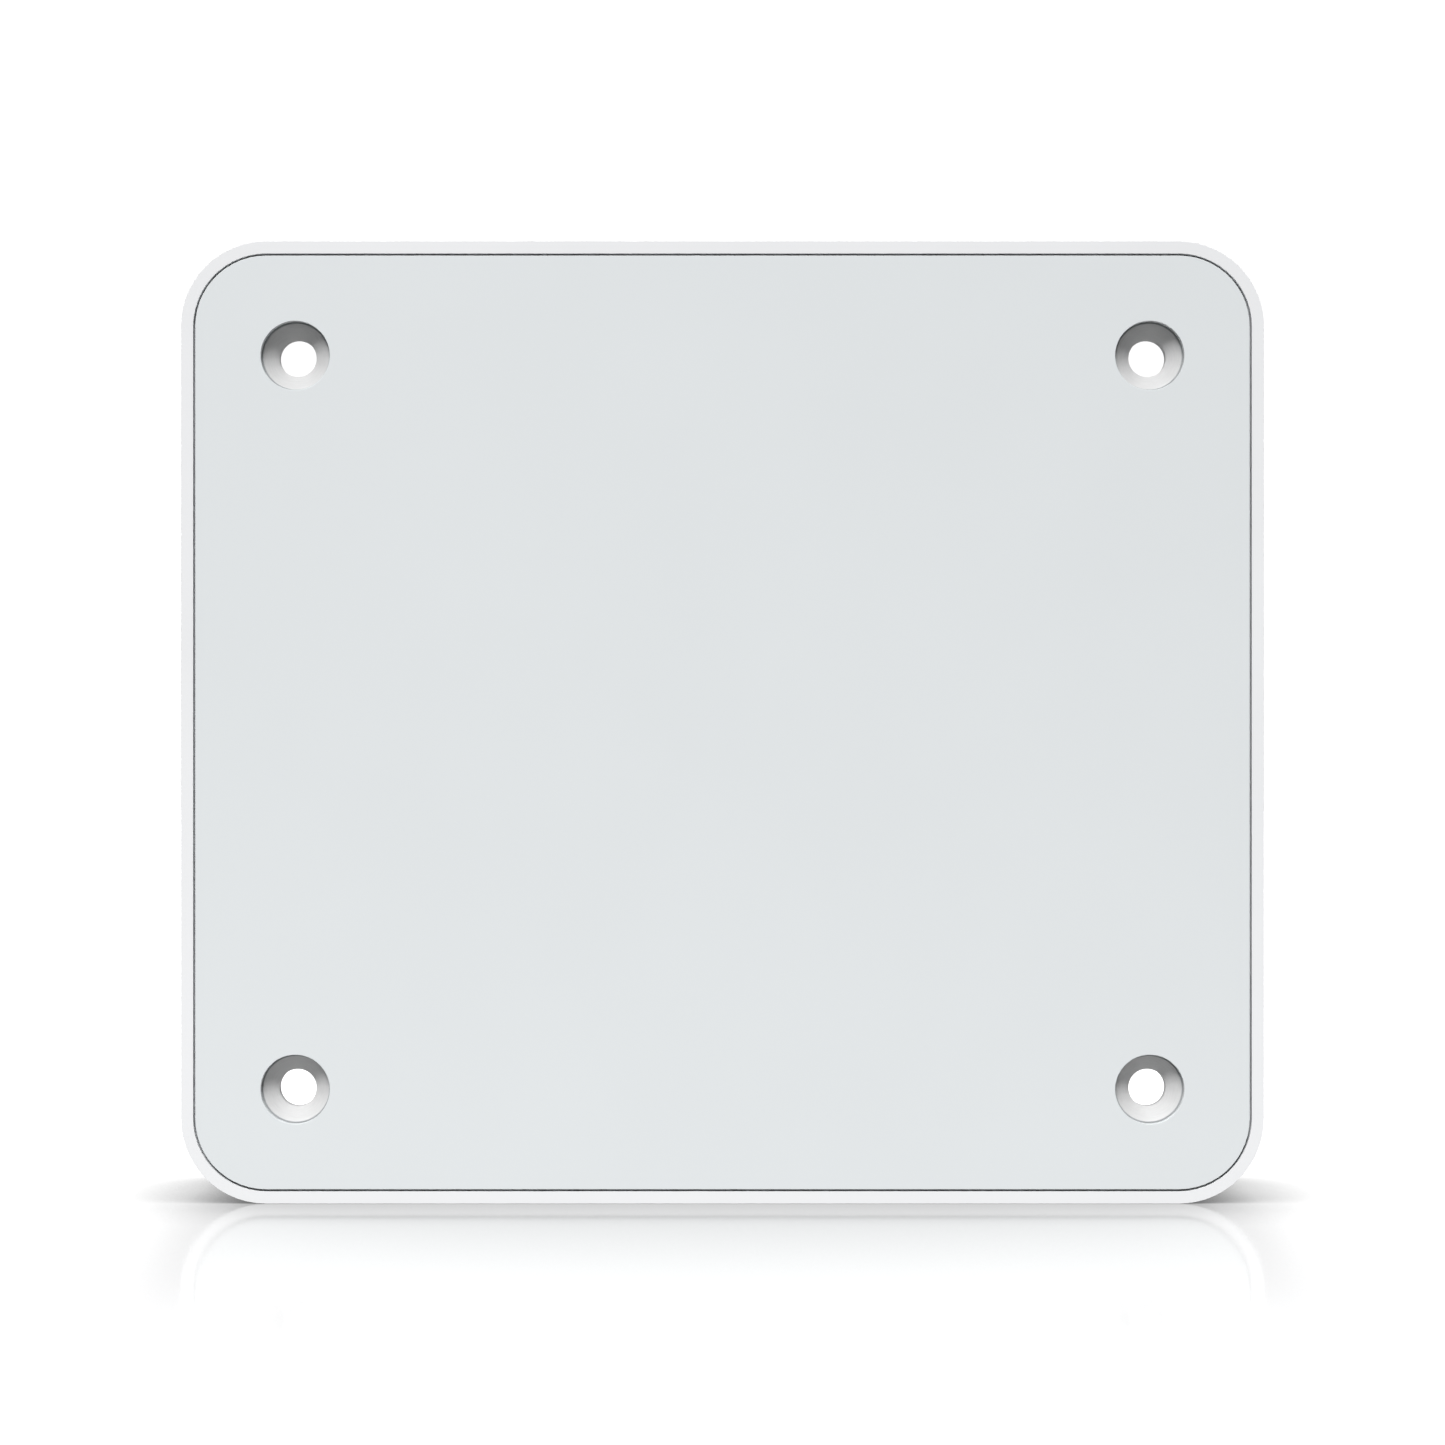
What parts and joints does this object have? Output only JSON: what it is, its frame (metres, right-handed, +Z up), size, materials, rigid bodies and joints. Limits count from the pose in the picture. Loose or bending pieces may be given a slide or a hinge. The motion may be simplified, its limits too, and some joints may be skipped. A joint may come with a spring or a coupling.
{
  "type": "ceiling access point",
  "caption": "Shallow rounded-rectangle wireless access point in a white moulded case with an inlaid grey face, countersunk screw-through corners and a rear port bay.",
  "frame": {"origin": "centre of the back mounting face", "axes": "+X right and +Z up as seen from the front, +Y out of the mounting face towards the ceiling or wall, so the face panel looks towards -Y"},
  "size_m": [0.13, 0.03, 0.1156],
  "materials": {
    "white_case": "fine satin moulded white plastic",
    "face_panel": "smooth satin light grey sheet",
    "adhesive_film": "thin translucent adhesive film",
    "sleeve_plastic": "stiff white moulded sleeve",
    "cover_plate": "bead-blasted plate",
    "zinc_screw": "bright zinc plate",
    "blank_label": "blank white polyester label",
    "bay_plastic": "fine textured dark grey moulding",
    "tinned_sheet": "tinned sheet metal",
    "jack_plastic": "glass-filled black plastic",
    "gold_wire": "gold plate",
    "switch_plastic": "black switch housing",
    "key_plastic": "grey moulded key",
    "led_resin": "clear resin over a yellow phosphor",
    "clear_acrylic": "polished clear acrylic",
    "board_laminate": "green solder mask",
    "turned_steel": "turned and nickel plated",
    "brass_standoff": "turned brass",
    "chip_resin": "black moulded chip package",
    "shield_can": "tinned sheet metal",
    "thermal_gel": "soft blue gap pad",
    "block_metal": "sawn and milled block",
    "moulded_magnetics": "black moulded block",
    "ferrite_core": "grey ferrite core with wound bobbin",
    "capacitor_sleeve": "can with a printed sleeve, no lettering",
    "inductor_resin": "moulded metal-powder block",
    "gold_socket": "gold plate",
    "lead_jacket": "grey fluoropolymer jacket",
    "plate_sheet": "stamped sheet",
    "antenna_sheet": "tin-plated spring sheet"
  },
  "bodies": {
    "case": {"front_shell": "white_case", "face_panel": "face_panel", "panel_film": "adhesive_film", "screw_sleeve_1": "sleeve_plastic", "screw_sleeve_2": "sleeve_plastic", "screw_sleeve_3": "sleeve_plastic", "screw_sleeve_4": "sleeve_plastic", "rear_cover": "cover_plate", "cover_screws": "zinc_screw", "rating_label": "blank_label", "bay_tub": "bay_plastic", "jack_shield": "tinned_sheet", "jack_insert": "jack_plastic", "jack_contacts": "gold_wire", "reset_switch": "switch_plastic", "status_led": "led_resin", "light_pipe": "clear_acrylic", "main_board": "board_laminate", "board_posts": "turned_steel", "board_standoffs": "brass_standoff", "processor": "chip_resin", "memory_chip_1": "chip_resin", "memory_chip_2": "chip_resin", "flash_chip": "chip_resin", "radio_chip_1": "chip_resin", "radio_chip_2": "chip_resin", "processor_shield_frame": "shield_can", "processor_shield_lid": "shield_can", "radio_shield_frame_1": "shield_can", "radio_shield_lid_1": "shield_can", "radio_shield_frame_2": "shield_can", "radio_shield_lid_2": "shield_can", "thermal_pad_1": "thermal_gel", "thermal_pad_2": "thermal_gel", "thermal_pad_3": "thermal_gel", "heat_block_1": "block_metal", "heat_block_2": "block_metal", "heat_block_3": "block_metal", "lan_transformer": "moulded_magnetics", "poe_transformer": "ferrite_core", "bulk_capacitor_1": "capacitor_sleeve", "bulk_capacitor_2": "capacitor_sleeve", "bulk_capacitor_3": "capacitor_sleeve", "power_inductor_1": "inductor_resin", "power_inductor_2": "inductor_resin", "coax_socket_1": "gold_socket", "coax_socket_2": "gold_socket", "coax_socket_3": "gold_socket", "coax_socket_4": "gold_socket", "coax_lead_1": "lead_jacket", "coax_lead_2": "lead_jacket", "coax_lead_3": "lead_jacket", "coax_lead_4": "lead_jacket", "antenna_plate": "plate_sheet", "plate_screws": "zinc_screw", "antenna_1": "antenna_sheet", "antenna_2": "antenna_sheet", "antenna_3": "antenna_sheet", "antenna_4": "antenna_sheet"},
    "reset_key": {"reset_button": "key_plastic"}
  },
  "joints": [
    {"name": "reset_press", "type": "slide", "parent": "case", "child": "reset_key", "axis": [0, 0, 1], "range_m": [0, 0.0005], "stiffness_N_per_m": 1000, "springref_m": -0.0004}
  ]
}
